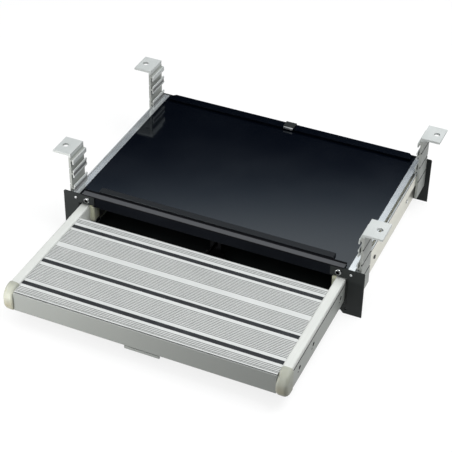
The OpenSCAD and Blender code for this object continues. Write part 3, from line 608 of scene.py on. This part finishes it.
def windReturnCoil(c):
    low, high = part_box("return_spring")
    wire = c["wire"]
    middle = (low + high) / 2
    ring = (high.x - low.x - wire) / 2
    closed = c["closedShare"]
    closedRise = wire * c["closedPitch"] * closed
    openRise = high.y - low.y - wire - 2 * closedRise
    bm = bmesh.new()
    bmesh.ops.create_circle(bm, cap_ends=False, segments=c["wireSides"], radius=wire / 2)
    # the ring lies in x and y, square to the way it sets off
    bmesh.ops.translate(bm, verts=bm.verts, vec=(middle.x + ring, low.y + wire / 2, middle.z))
    first = list(bm.edges)
    last = first
    for curls, rise in ((closed, closedRise), (c["curls"] - 2 * closed, openRise), (closed, closedRise)):
        steps = round(curls * c["stepsPerCurl"])
        made = bmesh.ops.spin(bm, geom=last, cent=middle, axis=(0, 1, 0), dvec=(0, rise / steps, 0),
                              angle=-2 * math.pi * curls, steps=steps, use_duplicate=False)
        last = [e for e in made["geom_last"] if isinstance(e, bmesh.types.BMEdge)]
    for loop in (first, last):
        bmesh.ops.edgeloop_fill(bm, edges=[e for e in loop if e.is_valid])
    bmesh.ops.remove_doubles(bm, verts=bm.verts, dist=near)
    bmesh.ops.recalc_face_normals(bm, faces=bm.faces)
    for face in bm.faces:
        face.smooth = len(face.verts) == 4  # all but the cut ends
    coil = addPiece("return_coil", bm, "springSteel", "step", ["return_spring"])
    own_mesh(coil)


windReturnCoil(returnCoil)
print("return coil wound")


# Moulded cap on the rail's front end: how far it stands out, its rounding at front and sides, and its plug
endCap = {"proud": 3.4 * mm, "spread": 1.6 * mm, "back": 2.5 * mm, "lift": 3.0 * mm, "crown": 27.0 * mm,
          "chin": 23.0 * mm, "innerSide": 7.0 * mm, "outerSide": 8.5 * mm, "frontSteps": 14, "sideSteps": 7,
          "inset": 1.0 * mm, "plugPlay": 0.2 * mm, "railWall": 2.0 * mm}


def mouldEndCap(side, c):
    low, high = (Vector(p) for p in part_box("end_cap_right"))
    low += Vector((0, c["back"], c["lift"]))
    railLow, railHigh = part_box("side_rail_right")
    outer, front, rear = railHigh.x + c["proud"], low.y, railLow.y
    middle = ((outer + low.x) / 2, (rear + front) / 2, (high.z + low.z) / 2)
    bm = bmesh.new()
    bmesh.ops.create_cube(bm, size=1.0)
    bmesh.ops.scale(bm, verts=bm.verts, vec=(outer - low.x, rear - front, high.z - low.z))
    bmesh.ops.translate(bm, verts=bm.verts, vec=middle)

    def liesOn(part, **planes):
        return all(abs(getattr(v.co, axis) - at) < near for v in part.verts for axis, at in planes.items())

    def roundEdges(radius, steps, **planes):
        edges = [e for e in bm.edges if liesOn(e, **planes) and not liesOn(e, y=rear)]
        roundOff(bm, edges, radius, steps)

    roundEdges(c["crown"], c["frontSteps"], y=front, z=high.z)
    roundEdges(c["chin"], c["frontSteps"], y=front, z=low.z)
    roundEdges(c["innerSide"], c["sideSteps"], x=low.x)
    roundEdges(c["outerSide"], c["sideSteps"], x=outer)
    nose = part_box("tread_front_plank")[0].y
    for v in bm.verts:  # the front spreads over the end of the tread's face
        ahead = min(max((nose - v.co.y) / (nose - front), 0.0), 1.0)
        v.co.x -= c["spread"] * math.sin(ahead * math.pi / 2) * (outer - v.co.x) / (outer - low.x)
    back = [f for f in bm.faces if liesOn(f, y=rear)]
    rim = {e for f in back for e in f.edges}
    bmesh.ops.inset_region(bm, faces=back, thickness=c["inset"], use_even_offset=True)
    ring = list(back[0].verts)
    gap = c["railWall"] + c["plugPlay"]
    for i in (0, 2):  # across and up, the plug follows the inside of the rail
        least, most = min(v.co[i] for v in ring), max(v.co[i] for v in ring)
        for v in ring:
            share = (v.co[i] - least) / (most - least)
            v.co[i] = railLow[i] + gap + share * (railHigh[i] - railLow[i] - 2 * gap)
    pullOut(bm, back, (0, high.y - rear, 0))
    bmesh.ops.delete(bm, geom=back, context="FACES_ONLY")  # the wall that stays inside the plug
    if side == "left":
        bmesh.ops.scale(bm, verts=bm.verts, vec=(-1, 1, 1))
    bmesh.ops.recalc_face_normals(bm, faces=bm.faces)
    for face in bm.faces:  # all but the plug
        face.smooth = max(v.co.y for v in face.verts) < rear + near
    for edge in rim:
        edge.smooth = False
    addPiece("cap_" + side, bm, "ivoryNylon", "step", ["end_cap_" + side])


for side in ("left", "right"):
    mouldEndCap(side, endCap)
print("end caps moulded")


# Folded lip on the front of the lever's tab, where the fingers go: ahead and behind count forwards from the
# lever's pin, below from the tab's lower edge
leverLip = {"half": 37.0 * mm, "ahead": 5.0 * mm, "behind": 0.9 * mm, "height": 6.4 * mm, "below": 0.4 * mm,
            "sheet": 1.6 * mm, "soften": 0.5 * mm, "softSteps": 3}


def foldLeverLip(p):
    pin = next(j for j in frame["joints"] if j["name"] == "lever_pull")["pos_m"]
    front, back = pin[1] - p["ahead"], pin[1] - p["behind"]
    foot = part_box("release_lever")[0].z - p["below"]
    top, inner, floor = foot + p["height"], front + p["sheet"], foot + p["sheet"]
    section = [(front, top), (front, foot), (back, foot), (back, floor), (inner, floor), (inner, top)]
    bm = bmesh.new()
    end = bm.faces.new([bm.verts.new((-p["half"], y, z)) for y, z in section])
    pullOut(bm, [end], (2 * p["half"], 0, 0))
    bmesh.ops.recalc_face_normals(bm, faces=bm.faces)
    roundOff(bm, list(bm.edges), p["soften"], p["softSteps"])
    addPiece("lever_lip", bm, "barAlloy", "lever")


foldLeverLip(leverLip)
print("lever lip folded")


# Floor: white to the eye and in reflections, and it keeps a soft shadow
floorLook = {"half": 20.0, "drop": 0.2 * mm, "glow": 0.80, "shadowed": 0.20, "plain": 0.22}


def layFloor(f):
    bm = bmesh.new()
    bmesh.ops.create_grid(bm, x_segments=1, y_segments=1, size=f["half"])
    bmesh.ops.translate(bm, verts=bm.verts, vec=(0, 0, cadLow.z - f["drop"]))
    material = bpy.data.materials.new("paleFloor")
    material.use_nodes = True
    tree = material.node_tree
    tree.nodes.clear()
    ray = addNode(tree, "ShaderNodeLightPath", {}).outputs
    seen = mathNode(tree, "MAXIMUM", ray["Is Camera Ray"], ray["Is Glossy Ray"])
    seen = mathNode(tree, "MAXIMUM", seen, ray["Is Transmission Ray"])
    plain, dim = (addNode(tree, "ShaderNodeBsdfDiffuse", {"Color": (f[k], f[k], f[k], 1)}).outputs[0]
                  for k in ("plain", "shadowed"))
    glow = addNode(tree, "ShaderNodeEmission", {"Color": (1, 1, 1, 1), "Strength": f["glow"]}).outputs[0]
    shown = addNode(tree, "ShaderNodeAddShader", {0: dim, 1: glow}).outputs[0]
    mixed = addNode(tree, "ShaderNodeMixShader", {0: seen, 1: plain, 2: shown}).outputs[0]
    addNode(tree, "ShaderNodeOutputMaterial", {"Surface": mixed})
    meshObject("floor", bm, material)


# Sky by height: pale at the horizon, dark walls, then a bright ceiling, and brighter to the right
skyLook = {
    "stops": [(0.0, (0.58, 0.59, 0.60)), (0.06, (0.29, 0.30, 0.30)), (0.16, (0.09, 0.09, 0.09)),
              (0.40, (0.02, 0.025, 0.03)), (0.53, (0.006, 0.008, 0.013)), (0.555, (0.016, 0.021, 0.035)),
              (0.573, (0.068, 0.085, 0.125)), (0.587, (0.34, 0.42, 0.52)), (0.60, (0.92, 1.00, 1.08)),
              (0.62, (1.70, 1.75, 1.78)), (0.67, (1.40, 1.40, 1.40)), (1.0, (0.97, 0.99, 1.0))],
    "left": 0.85,
    "right": 1.20,
    "turn": 0.8,  # how far to a side the change goes on
}


def lightSky(s):
    world = bpy.data.worlds.new("softStudio")
    scene.world = world
    world.use_nodes = True
    tree = world.node_tree
    tree.nodes.clear()
    way = splitVector(tree, addNode(tree, "ShaderNodeTexCoord", {}).outputs["Generated"])
    ramp = addNode(tree, "ShaderNodeValToRGB", {0: way["Z"]})
    while len(ramp.color_ramp.elements) < len(s["stops"]):
        ramp.color_ramp.elements.new(0.5)
    for element, (at, colour) in zip(ramp.color_ramp.elements, s["stops"]):
        element.position = at
        element.color = (*colour, 1)
    side = remap(tree, way["X"], -s["turn"], s["turn"], s["left"], s["right"])
    sky = addNode(tree, "ShaderNodeBackground", {"Color": ramp.outputs[0], "Strength": side}).outputs[0]
    addNode(tree, "ShaderNodeOutputWorld", {"Surface": sky})


# Lamps, placed from the middle of the object: where, size in metres, watts and tint
lamps = {
    "keyLamp": {"from": (-0.50, -0.95, 0.0), "size": 0.3, "watts": 7.6, "tint": (1.0, 0.985, 0.96)},
    "topLamp": {"from": (1.0, 0.0, 2.0), "size": 1.2, "watts": 23.0, "tint": (1.0, 1.0, 1.0)},
}


def hangLamp(name, s):
    data = bpy.data.lights.new(name, "AREA")
    data.size = s["size"]
    data.energy = s["watts"]
    data.color = s["tint"]
    lamp = bpy.data.objects.new(name, data)
    away = Vector(s["from"])
    lamp.location = (cadLow + cadHigh) / 2 + away
    lamp.rotation_euler = (-away).to_track_quat("-Z", "Y").to_euler()
    lamp.visible_camera = False
    scene.collection.objects.link(lamp)


layFloor(floorLook)
lightSky(skyLook)
for name, settings in lamps.items():
    hangLamp(name, settings)
print("floor, sky and lamps set")
